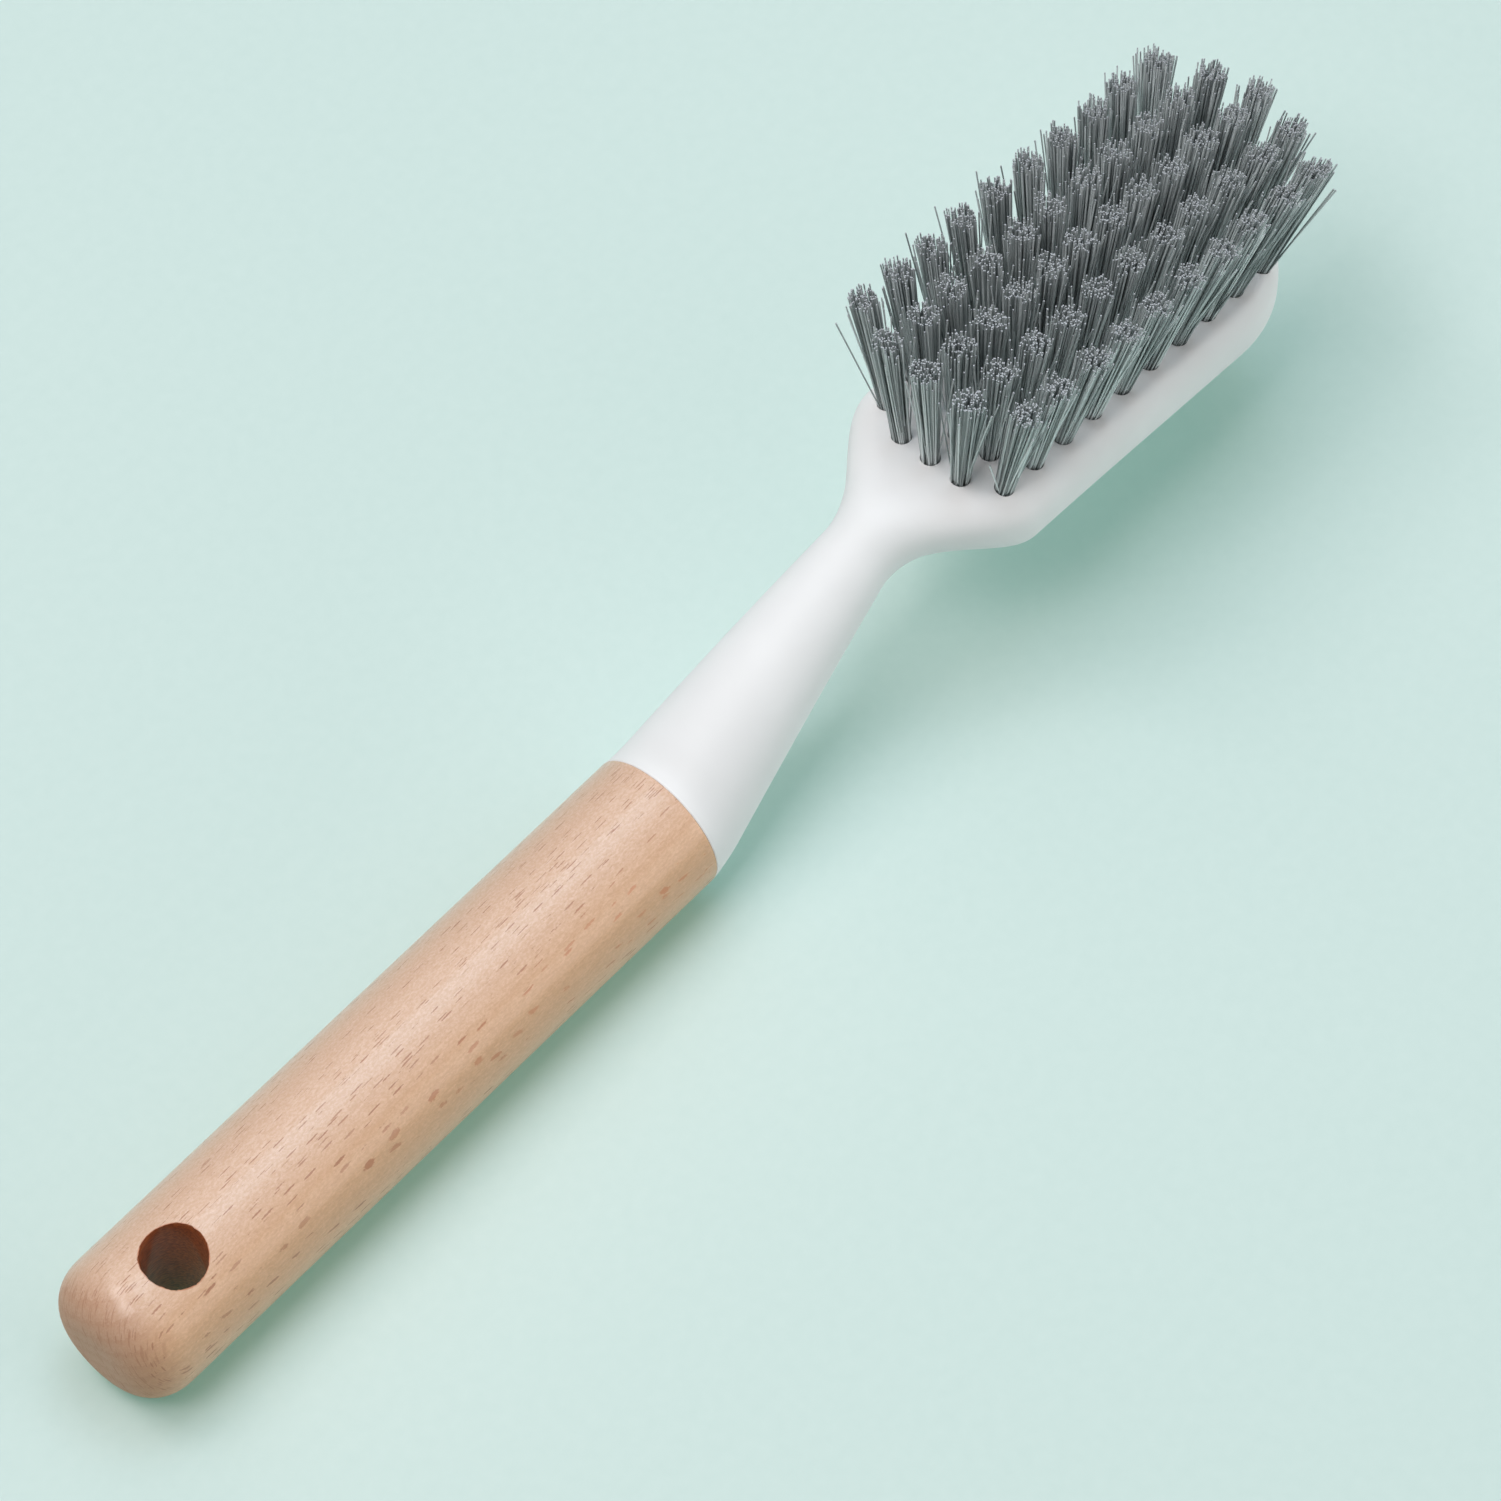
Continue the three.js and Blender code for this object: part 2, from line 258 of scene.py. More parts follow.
def add_bump(bench, shader, height, strength, distance):
    values = {"Height": height, "Strength": strength, "Distance": distance}
    bench.add("ShaderNodeBump", values, out="Normal").into(shader, "Normal")


# %% [markdown]
# A mesh becomes a piece of the brush in the same few steps each time.
# Faces are shaded smooth, but edges that turn more than a set angle stay sharp, as on the rim of a hole.

# %% From mesh to piece
SHARP_ANGLE = math.radians(35)
MERGE_DISTANCE = 1e-7


def new_object(name, mesh):
    piece = bpy.data.objects.new(name, mesh)
    bpy.context.scene.collection.objects.link(piece)
    return piece


def mesh_from(name, points, faces):
    """A mesh from points in millimetres from the joint and lists of point numbers."""
    mesh = bpy.data.meshes.new(name)
    mesh.from_pydata([from_joint(*p) for p in points], [], faces)
    tidy = bmesh.new()
    tidy.from_mesh(mesh)
    bmesh.ops.remove_doubles(tidy, verts=tidy.verts, dist=MERGE_DISTANCE)
    bmesh.ops.recalc_face_normals(tidy, faces=tidy.faces)
    tidy.to_mesh(mesh)
    tidy.free()
    return mesh


def shade(mesh):
    mesh.shade_smooth()
    mesh.set_sharp_from_angle(angle=SHARP_ANGLE)


def make_plain(piece):
    """Turns what a piece's modifiers make into its own plain mesh."""
    graph = bpy.context.evaluated_depsgraph_get()
    made = piece.evaluated_get(graph)
    mesh = bpy.data.meshes.new_from_object(made, preserve_all_data_layers=True, depsgraph=graph)
    piece.modifiers.clear()
    piece.data = mesh
    return mesh


def fit(piece, node):
    """Makes a finished piece part of the brush, in the place of a CAD node."""
    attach(piece, "root")
    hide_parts(node)
    print(piece.name, len(piece.data.polygons), "faces")


# %% [markdown]
# The handle is one length of beech, turned to 24 mm with a rounded butt, bored for the tang and cross drilled.
# A Boolean would cut the hole in one line, but it leaves long thin faces that shade badly on a round bar.
# Here the hole is drawn into the grid: a square patch round each mouth is filled with rings that grow from its rim.

# %% Handle sizes
HANDLE_RADIUS = 12.0
HANDLE_LENGTH = 119.5
BUTT_RADIUS = 8.0
BUTT_SQUARENESS = 2.2
JOINT_BEVEL = 0.2
SOCKET_RADIUS = 6.3
SOCKET_DEPTH = 33.0
HOLE_RADIUS = 5.0
HOLE_X = 15.5 - HANDLE_LENGTH
HOLE_TURN = math.radians(4)
HOLE_SIDE = -1.05 * math.cos(HOLE_TURN)
HANDLE_SIDES = 96
HANDLE_STEP = 2 * math.pi / HANDLE_SIDES
PATCH_HALF = 7.5
PATCH_SIDES = 24
print("hole:", 2 * HOLE_RADIUS, "mm, at", HOLE_X + HANDLE_LENGTH, "mm from the butt")

# %% Handle rings
BUTT_FLAT_SHARES = (0.0, 0.4, 0.75)
BUTT_STEPS = 14
BODY_STEPS = 26
BODY_END = -2
BEVEL_STEPS = 3
SOCKET_STEPS = 4


def lerp(a, b, share):
    return a + (b - a) * share


def butt_rings():
    """The flat end of the butt and the round that leads to the handle's side, as x and radius."""
    flat = HANDLE_RADIUS - BUTT_RADIUS
    rings = [(-HANDLE_LENGTH, flat * share) for share in BUTT_FLAT_SHARES]
    for i in range(BUTT_STEPS):
        turn = i / BUTT_STEPS * math.pi / 2
        back = BUTT_RADIUS * math.cos(turn) ** (2 / BUTT_SQUARENESS)
        out = BUTT_RADIUS * math.sin(turn) ** (2 / BUTT_SQUARENESS)
        rings.append((-HANDLE_LENGTH + BUTT_RADIUS - back, flat + out))
    return rings


def body_rings():
    """The rings of the patch round the hole, and then those of the plain side."""
    xs = [HOLE_X + PATCH_HALF * (2 * i / PATCH_SIDES - 1) for i in range(PATCH_SIDES + 1)]
    xs += [lerp(HOLE_X + PATCH_HALF, BODY_END, i / BODY_STEPS) for i in range(1, BODY_STEPS + 1)]
    return [(x, HANDLE_RADIUS) for x in xs]


def joint_rings():
    """The small bevel at the joint, the flat end and the socket for the tang."""
    rings = []
    for i in range(BEVEL_STEPS + 1):
        turn = i / BEVEL_STEPS * math.pi / 2
        inset = JOINT_BEVEL * (1 - math.cos(turn))
        rings.append((-JOINT_BEVEL * (1 - math.sin(turn)), HANDLE_RADIUS - inset))
    rings += [(0, lerp(HANDLE_RADIUS, SOCKET_RADIUS, 0.5)), (0, SOCKET_RADIUS)]
    rings += [(-SOCKET_DEPTH * i / SOCKET_STEPS, SOCKET_RADIUS) for i in range(1, SOCKET_STEPS + 1)]
    return rings + [(-SOCKET_DEPTH, 0)]


butt = butt_rings()
PATCH_FIRST = len(butt)
HANDLE_RINGS = butt + body_rings() + joint_rings()
print("handle rings:", len(HANDLE_RINGS))

# %% Rim of the hole
RIM_SIDES = 4 * PATCH_SIDES
RIM_START = -0.75 * math.pi
RIM_CHIP = 0.28
CHIP_LEAST = 0.05
CHIP_PLAIN = 0.35
ROUGH_CHIPS = {"share": 0.7, "across": 4, "apart": 3}
FINE_CHIPS = {"share": 0.5, "across": 19, "apart": 7}


def clamp(value, low=0.0, high=1.0):
    return min(max(value, low), high)


def rim_turn(place):
    return 2 * math.pi * place / RIM_SIDES + RIM_START


def chips(turn, mouth, share, across, apart):
    return share * noise.noise(Vector((across * math.cos(turn), across * math.sin(turn), apart * mouth)))


def rim_growth(place, mouth):
    """How far the drill has torn the wood back from the rim at one place."""
    turn = rim_turn(place)
    rough, fine = (chips(turn, mouth, **kind) for kind in (ROUGH_CHIPS, FINE_CHIPS))
    return RIM_CHIP * clamp(CHIP_PLAIN + rough + fine, CHIP_LEAST)


print("widest chip:", round(max(rim_growth(place, 0) for place in range(RIM_SIDES)), 3), "mm")

# %% Handle points
PATCH_REACH = PATCH_SIDES // 2
PATCH_RINGS = 7
PATCH_EASE = 1.25
BORE_RINGS = 16
RIM_DEPTH = 0.35


def on_handle(x, angle, radius=HANDLE_RADIUS):
    """A point round the handle, with its angle measured from the hole's own direction."""
    out = radius * math.cos(angle)
    side = radius * math.sin(angle)
    y = side * math.cos(HOLE_TURN) - out * math.sin(HOLE_TURN)
    z = side * math.sin(HOLE_TURN) + out * math.cos(HOLE_TURN)
    return (x, y, z + HANDLE_RADIUS)


def edge_place(place):
    """Ring and side, counted from the patch's corner, of a place on the patch's edge."""
    leg, along = divmod(place, PATCH_SIDES)
    rest = PATCH_SIDES - along
    return [(along, 0), (PATCH_SIDES, along), (rest, PATCH_SIDES), (0, rest)][leg]


class HandlePoints:
    """The handle's points. Each is made once, and its key finds its number again."""

    def __init__(self):
        self.points = []
        self.numbers = {}

    def number(self, key, point):
        if key not in self.numbers:
            self.numbers[key] = len(self.points)
            self.points.append(point)
        return self.numbers[key]

    def on_grid(self, ring, side):
        side %= HANDLE_SIDES
        x, radius = HANDLE_RINGS[ring]
        key = ("grid", ring, side if radius else 0)
        return self.number(key, on_handle(x, side * HANDLE_STEP, radius))

    def in_patch(self, mouth, level, place):
        """A point between the rim, at level 0, and the patch's edge."""
        place %= RIM_SIDES
        ring, side = edge_place(place)
        middle = mouth * HANDLE_SIDES // 2
        if level == PATCH_RINGS:
            return self.on_grid(PATCH_FIRST + ring, middle - PATCH_REACH + side)
        radius = HOLE_RADIUS + rim_growth(place, mouth)
        turn = rim_turn(place)
        share = (level / PATCH_RINGS) ** PATCH_EASE
        x = lerp(HOLE_X + radius * math.cos(turn), HANDLE_RINGS[PATCH_FIRST + ring][0], share)
        side_shift = -HOLE_SIDE if mouth else HOLE_SIDE
        rim_angle = math.asin((radius * math.sin(turn) + side_shift) / HANDLE_RADIUS)
        angle = lerp(rim_angle, (side - PATCH_REACH) * HANDLE_STEP, share)
        return self.number(("patch", mouth, level, place), on_handle(x, middle * HANDLE_STEP + angle))

    def in_bore(self, place, level):
        """A point on the bore's wall, from the rim of one mouth to the rim of the other."""
        place %= RIM_SIDES
        if level == 0:
            return self.in_patch(0, 0, place)
        if level == BORE_RINGS:
            return self.in_patch(1, 0, RIM_SIDES * 3 // 4 - place)
        turn = rim_turn(place)
        side = HOLE_SIDE + HOLE_RADIUS * math.sin(turn)
        reach = math.sqrt(HANDLE_RADIUS**2 - side**2) - RIM_DEPTH
        height = lerp(reach, -reach, (level - 1) / (BORE_RINGS - 2))
        radius = math.hypot(height, side)
        point = on_handle(HOLE_X + HOLE_RADIUS * math.cos(turn), math.atan2(side, height), radius)
        return self.number(("bore", level, place), point)


# %% Handle mesh


def square(corner, *at):
    """The corners of one face of a grid, from a function that numbers the grid's points."""
    *first, a, b = at
    return [corner(*first, *c) for c in ((a, b), (a + 1, b), (a + 1, b + 1), (a, b + 1))]


def is_patch(ring, side):
    in_rings = PATCH_FIRST <= ring < PATCH_FIRST + PATCH_SIDES
    return in_rings and (side + PATCH_REACH) % (HANDLE_SIDES // 2) < PATCH_SIDES


def make_handle():
    made = HandlePoints()
    faces = []
    for ring in range(len(HANDLE_RINGS) - 1):
        for side in range(HANDLE_SIDES):
            if not is_patch(ring, side):
                faces.append(list(dict.fromkeys(square(made.on_grid, ring, side))))
    for mouth in (0, 1):
        for level in range(PATCH_RINGS):
            faces += [square(made.in_patch, mouth, level, place) for place in range(RIM_SIDES)]
    for level in range(BORE_RINGS):
        faces += [square(made.in_bore, place, level) for place in range(RIM_SIDES)]
    return mesh_from("beech_handle", made.points, faces)


handle = new_object("beech_handle", make_handle())
shade(handle.data)
print("handle points:", len(handle.data.vertices))

# %% [markdown]
# The head is one moulding: a tang in the handle, a round neck that climbs, and a flat paddle for the tufts.
# Its shape follows a rule, so it is lofted: one cross section after another, each a superellipse planed flat
# where the tuft face and the back are. The tang is simply the first few rings of the same loft.

# %% Head sizes
NECK_RISE = math.radians(26.4)
NECK_RISE_START = 3.25
NECK_RISE_SOFT = 3.0
NECK_LENGTH = 52.0
NECK_RADIUS = 5.0
NECK_BOW = 0.9
FACE_TILT = math.radians(6.2)
FACE_FRONT = 55.6
FACE_HEIGHT = 41.4
HEAD_LENGTH = 81.7
HEAD_HALF_WIDTH = 17.3
HEAD_THICKNESS = 11.4
HEAD_END_LENGTH = 20.6
HEAD_END_ROUND = 5.0
HEAD_SQUARENESS = 2.8
FACE_CROWN = 2.8
FACE_CROWN_SLOPE = 0.16
BACK_CROWN = 2.9
EDGE_SOFTNESS = 1.2
FACE_EDGE_SOFTNESS = 0.6
SHOULDER_START = 44.3
SHOULDER_END = SHOULDER_START + 22.9
SHOULDER_TOP_START = 42.7
SHOULDER_TOP_END = SHOULDER_TOP_START + 12.2
HEAD_SIDES = 144
HEAD_END = FACE_FRONT + HEAD_LENGTH * math.cos(FACE_TILT)
print("head ends", round(HEAD_END, 1), "mm beyond the joint")

# %% Head cross sections


def smoothstep(value, low, high):
    share = clamp((value - low) / (high - low))
    return share * share * (3 - 2 * share)


def soft_ramp(d, soft):
    """0 below 0 and d above it, with a round bend between the two."""
    if abs(d) >= soft:
        return max(d, 0.0)
    return (d + soft) ** 2 / (4 * soft)


def soft_min(a, b, soft):
    """The lower of two heights, with a round edge where they meet."""
    near = max(soft - abs(a - b), 0) / soft
    return min(a, b) - near * near * soft / 4


def end_round(x, length):
    """How much of a section is left near the head's far end, 1 to 0 over a length."""
    along = (x - FACE_FRONT) / math.cos(FACE_TILT) - HEAD_LENGTH + length
    return math.sqrt(1 - clamp(along / length) ** 2)


def power_of(share, power):
    """A sine or cosine raised to a power, with its sign kept, as a superellipse needs it."""
    return math.copysign(abs(share) ** power, share)


def head_section(x):
    """The ring of points at a distance x beyond the joint."""
    taper = min(x / NECK_LENGTH, 1)
    radius = lerp(HANDLE_RADIUS, NECK_RADIUS, taper)
    climb = smoothstep(x, 0, NECK_RISE_SOFT + NECK_RISE_START)
    tall = radius * lerp(1, 1 / math.cos(NECK_RISE), climb)
    rise = math.tan(NECK_RISE) * soft_ramp(x - NECK_RISE_START, NECK_RISE_SOFT)
    centre = HANDLE_RADIUS + rise + NECK_BOW * math.sin(math.pi * taper)
    crown = soft_min(FACE_CROWN_SLOPE * (x - FACE_FRONT), FACE_CROWN, FACE_CROWN)
    wide = smoothstep(x, SHOULDER_START, SHOULDER_END)
    high = smoothstep(x, SHOULDER_TOP_START, SHOULDER_TOP_END)
    face = FACE_HEIGHT - (x - FACE_FRONT) * math.tan(FACE_TILT)
    top = lerp(centre + tall, face + crown, high)
    back = lerp(centre - tall, face - HEAD_THICKNESS, wide)
    bottom = back - BACK_CROWN * wide
    half_width = lerp(radius, HEAD_HALF_WIDTH, wide) * end_round(x, HEAD_END_LENGTH)
    half_height = (top - bottom) / 2 * end_round(x, HEAD_END_ROUND)
    back_plane = back - EDGE_SOFTNESS * (1 - wide)
    power = 2 / lerp(2, HEAD_SQUARENESS, wide)
    ring = []
    for i in range(HEAD_SIDES):
        turn = 2 * math.pi * i / HEAD_SIDES
        y = half_width * power_of(math.cos(turn), power)
        z = (top + bottom) / 2 + half_height * power_of(math.sin(turn), power)
        z = soft_min(z, face, FACE_EDGE_SOFTNESS)
        z = -soft_min(-z, -back_plane, EDGE_SOFTNESS)
        ring.append((x, y, z))
    return ring


# %% Tang
TANG_RADIUS = 6.0
TANG_LENGTH = 32.0
TANG_RINGS = 5
TANG_RING_HEIGHT = 0.5
TANG_RING_SHARES = (0.5, 0.7, 0.9)
TANG_TIP_BEVEL = 1.5


def round_ring(x, radius):
    """A ring of the tang, or of the face that meets the handle."""
    turns = [2 * math.pi * i / HEAD_SIDES for i in range(HEAD_SIDES)]
    return [(x, radius * math.cos(t), HANDLE_RADIUS + radius * math.sin(t)) for t in turns]


def tang_rings():
    root = TANG_RADIUS - TANG_RING_HEIGHT
    start = TANG_TIP_BEVEL - TANG_LENGTH
    pitch = -start / TANG_RINGS
    profile = [(-TANG_LENGTH, 0), (-TANG_LENGTH, root - TANG_TIP_BEVEL), (start, root)]
    for i in range(TANG_RINGS):
        risen, topped, fallen = (start + i * pitch + share * pitch for share in TANG_RING_SHARES)
        profile += [(risen, TANG_RADIUS), (topped, TANG_RADIUS), (fallen, root)]
    profile.append((0, root))
    for i in range(BEVEL_STEPS):
        turn = i / BEVEL_STEPS * math.pi / 2
        inset = JOINT_BEVEL * (1 - math.sin(turn))
        profile.append((JOINT_BEVEL * (1 - math.cos(turn)), HANDLE_RADIUS - inset))
    return [round_ring(x, radius) for x, radius in profile]


# %% Head mesh
NECK_STEPS = 44
SHOULDER_STEPS = 56
PADDLE_STEPS = 14
END_STEPS = 44


def head_stations():
    """Distances beyond the joint at which the head is cut, closest where it changes most."""
    end_start = HEAD_END - HEAD_END_LENGTH
    stretches = [
        (JOINT_BEVEL, SHOULDER_TOP_START, NECK_STEPS),
        (SHOULDER_TOP_START, SHOULDER_END, SHOULDER_STEPS),
        (SHOULDER_END, end_start, PADDLE_STEPS),
    ]
    stations = [lerp(start, end, i / steps) for start, end, steps in stretches for i in range(steps)]
    turns = [i / END_STEPS * math.pi / 2 for i in range(END_STEPS + 1)]
    return stations + [lerp(end_start, HEAD_END, math.sin(turn)) for turn in turns]


def make_head():
    rings = tang_rings() + [head_section(x) for x in head_stations()]
    points = [p for ring in rings for p in ring]
    faces = []
    for ring in range(len(rings) - 1):
        low, high = ring * HEAD_SIDES, (ring + 1) * HEAD_SIDES
        for side in range(HEAD_SIDES):
            beside = (side + 1) % HEAD_SIDES
            faces.append((low + side, low + beside, high + beside, high + side))
    return mesh_from("moulded_head", points, faces)


head = new_object("moulded_head", make_head())
print("head points before drilling:", len(head.data.vertices))

# %% [markdown]
# The 54 tufts stand in five rows and fan out from the middle. The outer rows are set half a pitch back,
# and the middle row is a little denser, so that its last tuft follows the round end of the head.
# Each tuft is kept as one point on the face that also carries the direction and length of its tuft.
# The holes and the filaments are both grown from these points, so they can never drift apart.

# %% Tuft places
OUTER_ROW = 2
OUTER_TUFTS = 10
INNER_TUFTS = OUTER_TUFTS + 1
MIDDLE_TUFTS = INNER_TUFTS + 1
ROW_SPACING = 5.88
TUFT_FIRST = 10.13
TUFT_END_MARGIN = 10.1
TUFT_PITCH = (HEAD_LENGTH - TUFT_FIRST - TUFT_END_MARGIN) / (OUTER_TUFTS - 1)
MIDDLE_FIRST = 6.6
MIDDLE_END_MARGIN = 4.7
MIDDLE_PITCH = (HEAD_LENGTH - MIDDLE_FIRST - MIDDLE_END_MARGIN) / (MIDDLE_TUFTS - 1)
print("tuft pitch:", round(TUFT_PITCH, 3), "mm, in the middle row", round(MIDDLE_PITCH, 3), "mm")


def row_of_tufts(row):
    """First place, pitch and count of the tufts in a row."""
    if row == 0:
        return MIDDLE_FIRST, MIDDLE_PITCH, MIDDLE_TUFTS
    if abs(row) == OUTER_ROW:
        return TUFT_FIRST, TUFT_PITCH, OUTER_TUFTS
    return TUFT_FIRST - TUFT_PITCH / 2, TUFT_PITCH, INNER_TUFTS


# %% Tuft points
TUFT_HEIGHT = 23.8
TUFT_UPRIGHT = 36.2
TUFT_LEAN_ACROSS = 4.46
TUFT_LEAN_ALONG = 0.117
FACE_ALONG = Vector((math.cos(FACE_TILT), 0, -math.sin(FACE_TILT)))
FACE_ACROSS = Vector((0, 1, 0))
FACE_OUT = Vector((math.sin(FACE_TILT), 0, math.cos(FACE_TILT)))
FACE_START = from_joint(FACE_FRONT, 0, FACE_HEIGHT)


def tuft_points(name, rows):
    """A mesh of loose points, one for each tuft of some rows, with the tuft's axis as an attribute."""
    feet, tufts = [], []
    for row in rows:
        first, pitch, count = row_of_tufts(row)
        for i in range(count):
            u = first + i * pitch
            lean_along = (u - TUFT_UPRIGHT) * TUFT_LEAN_ALONG
            lean_across = row / OUTER_ROW * TUFT_LEAN_ACROSS
            feet.append(FACE_START + (u * FACE_ALONG + row * ROW_SPACING * FACE_ACROSS) * MM)
            tufts.append((TUFT_HEIGHT * FACE_OUT + lean_along * FACE_ALONG + lean_across * FACE_ACROSS) * MM)
    mesh = bpy.data.meshes.new(name)
    mesh.from_pydata(feet, [], [])
    mesh.attributes.new("tuft_axis", "FLOAT_VECTOR", "POINT")
    mesh.attributes["tuft_axis"].data.foreach_set("vector", [c for axis in tufts for c in axis])
    return new_object(name, mesh)


# %% [markdown]
# Geometry Nodes place whatever repeats. A tree is a small program with its own inputs, here the sizes of a hole.
# The first tree stands a bar on every tuft point, turned along its tuft, and the bars are then cut out of the head.

# %% A tree and its inputs
SOCKET_KINDS = {
    "geometry": "NodeSocketGeometry",
    "number": "NodeSocketFloat",
    "count": "NodeSocketInt",
    "vector": "NodeSocketVector",
    "finish": "NodeSocketMaterial",
}


def new_tree(name, **inputs):
    """A Geometry Nodes tree with named inputs, and wires that carry them."""
    tree = bpy.data.node_groups.new(name, "GeometryNodeTree")
    tree.interface.new_socket("Geometry", in_out="INPUT", socket_type=SOCKET_KINDS["geometry"])
    tree.interface.new_socket("Geometry", in_out="OUTPUT", socket_type=SOCKET_KINDS["geometry"])
    for title, kind in inputs.items():
        tree.interface.new_socket(title, in_out="INPUT", socket_type=SOCKET_KINDS[kind])
    start = tree.nodes.new("NodeGroupInput")
    given = {socket.name: Wire(tree, socket) for socket in start.outputs if socket.name}
    return tree, Wire(tree), given


def end_tree(tree, made, finish):
    """Realizes what the tree made, gives it its finish and sends it out."""
    real = made.add("GeometryNodeRealizeInstances", {"Geometry": made})
    dressed = made.add("GeometryNodeSetMaterial", {"Geometry": real, "Material": finish})
    dressed.into(tree.nodes.new("NodeGroupOutput"), 0)


def grow(piece, tree, **values):
    """Runs a tree on a piece with these inputs and keeps the result as a plain mesh."""
    modifier = piece.modifiers.new(tree.name, "NODES")
    modifier.node_group = tree
    sockets = [item for item in tree.interface.items_tree if item.item_type == "SOCKET"]
    identifiers = {item.name: item.identifier for item in sockets if item.in_out == "INPUT"}
    for title, value in values.items():
        modifier[identifiers[title]] = value
    return make_plain(piece)


# %% [markdown]
# White plastic with a satin skin: the colour is almost even, with a faint cloudiness from the mould,
# and a very fine grain that softens its reflections. It is made first, because the holes take it too.

# %% Moulded plastic
PLASTIC_CLOUD = {"Scale": 55.0, "Detail": 3.0}
PLASTIC_GRAIN = {"Scale": 2600.0, "Detail": 2.0}
PLASTIC_WHITES = srgb(240, 238, 238), srgb(245, 243, 243)
PLASTIC_BUMP = {"strength": 0.12, "distance": 0.00006}


def make_plastic():
    material, bench, shader = new_finish("white_plastic", IOR=1.49)
    place = object_place(bench)
    cloud = noise_at(bench, place, **PLASTIC_CLOUD)
    grain = noise_at(bench, place, **PLASTIC_GRAIN)
    cloud.step(0.3, 0.7).mix(*PLASTIC_WHITES).into(shader, "Base Color")
    (0.5 + 0.1 * grain + 0.06 * cloud).into(shader, "Roughness")
    add_bump(bench, shader, grain, **PLASTIC_BUMP)
    return material


white_plastic = make_plastic()
head.data.materials.append(white_plastic)
print("finish:", white_plastic.name)

# %% Tuft holes
HOLE_DEPTH = 6.5
TUFT_HOLE_RADIUS = 1.6
TUFT_HOLE_SIDES = 28
HOLE_OVERSHOOT = 1.0


def hole_tree():
    inputs = {"Radius": "number", "Length": "number", "Sink": "number", "Sides": "count", "Finish": "finish"}
    tree, bench, given = new_tree("tuft_holes", **inputs)
    size = {"Vertices": given["Sides"], "Radius": given["Radius"], "Depth": given["Length"]}
    bar = bench.add("GeometryNodeMeshCylinder", size, out="Mesh")
    lift = bench.add("ShaderNodeCombineXYZ", {"Z": given["Sink"]})
    sunk = bench.add("GeometryNodeTransform", {"Geometry": bar, "Translation": lift})
    axis = bench.add("GeometryNodeInputNamedAttribute", {"Name": "tuft_axis"}, data_type="FLOAT_VECTOR")
    turn = bench.add("FunctionNodeAlignRotationToVector", {"Vector": axis}, axis="Z")
    placed = {"Points": given["Geometry"], "Instance": sunk, "Rotation": turn}
    end_tree(tree, bench.add("GeometryNodeInstanceOnPoints", placed), given["Finish"])
    return tree


all_rows = range(-OUTER_ROW, OUTER_ROW + 1)
drills = tuft_points("tuft_drills", all_rows)
hole_length = HOLE_DEPTH + HOLE_OVERSHOOT
hole_sizes = {"Radius": TUFT_HOLE_RADIUS * MM, "Length": hole_length * MM, "Sides": TUFT_HOLE_SIDES}
hole_sizes["Sink"] = (HOLE_OVERSHOOT - hole_length / 2) * MM
grow(drills, hole_tree(), Finish=white_plastic, **hole_sizes)
print("drills:", len(drills.data.polygons), "faces")

# %% Drilled head
drilling = head.modifiers.new("tuft_holes", "BOOLEAN")
drilling.operation = "DIFFERENCE"
drilling.solver = "EXACT"
drilling.object = drills
make_plain(head)
shade(head.data)
bpy.data.objects.remove(drills)
fit(head, "brush_head")

# %% [markdown]
# Beech is easy to tell by its rays: thin brown ribbons that run out from the heart of the tree.
# Where the surface lies along the rings they are cut end on, and show as short dark dashes in rows along the grain.
# Where it faces the rays they are cut flat, and show as broad patches, as low on one side of this handle.
# One pattern in three dimensions gives both: long flat cells, thin in one direction, that the round surface cuts.
# Under the rays lie fibres, growth rings, pores and a fine mottle. The near side is painted a little yellower and
# the far side a little pinker: painted light, for the bounce light from the paper and the reflected white light.

# %% Directions of the wood
IN_MM = 1 / MM
GRAIN_TURN = math.radians(29)
GRAIN_SLOPE = math.radians(-1.5)


def place_from(bench, middle, turn):
    """Millimetres from a point of the frame, turned to a pattern's own directions."""
    centred = bench.add("ShaderNodeVectorMath", {0: object_place(bench), 1: -middle}, operation="ADD")
    return bench.add("ShaderNodeMapping", {"Vector": centred * IN_MM, "Rotation": turn})


def wood_place(bench):
    """Millimetres along the grain, across the rays and out from the heart, with the joint as the start."""
    return place_from(bench, from_joint(0, 0, HANDLE_RADIUS), (GRAIN_TURN, 0.0, GRAIN_SLOPE))


# %% Rays, rings and the bore
RAY_CELL = (4.4, 0.27, 2.4)
RAY_ROWS = (0.03, 3.0, 0.4)
RAY_LINES = (0.08, 2.2, 0.16)
HEART_DEPTH = 62.0
RING_WIDTH = 2.3
RING_WAVE = 1.2
BURN_AND_SHADE_REACH = (0.3, 0.02)


def beech_rays(bench, place, mottle):
    """How much of a ray the surface cuts at a place."""
    cell_place = stretched(bench, place, tuple(1 / size for size in RAY_CELL))
    cells = {"Vector": cell_place, "Scale": 1.0, "Randomness": 0.7}
    near = bench.add("ShaderNodeTexVoronoi", cells, out="Distance")
    chance = bench.add("ShaderNodeTexVoronoi", cells, out="Color")
    kept, depth = (bench.add("ShaderNodeSeparateColor", {"Color": chance}, out=c) for c in ("Red", "Green"))
    rows = noise_at(bench, stretched(bench, place, RAY_ROWS), Scale=1.0, Detail=1.0)
    shape = (near + 0.35 * mottle).step(0.51, 0.4)
    return shape * (rows + 0.3 * kept).over(0.65) * (0.6 + 0.4 * depth)


def ray_lines(bench, place):
    """The fine lines that the rays draw across the end grain."""
    return noise_at(bench, stretched(bench, place, RAY_LINES), Scale=1.6, Detail=2.0).step(0.58, 0.66)


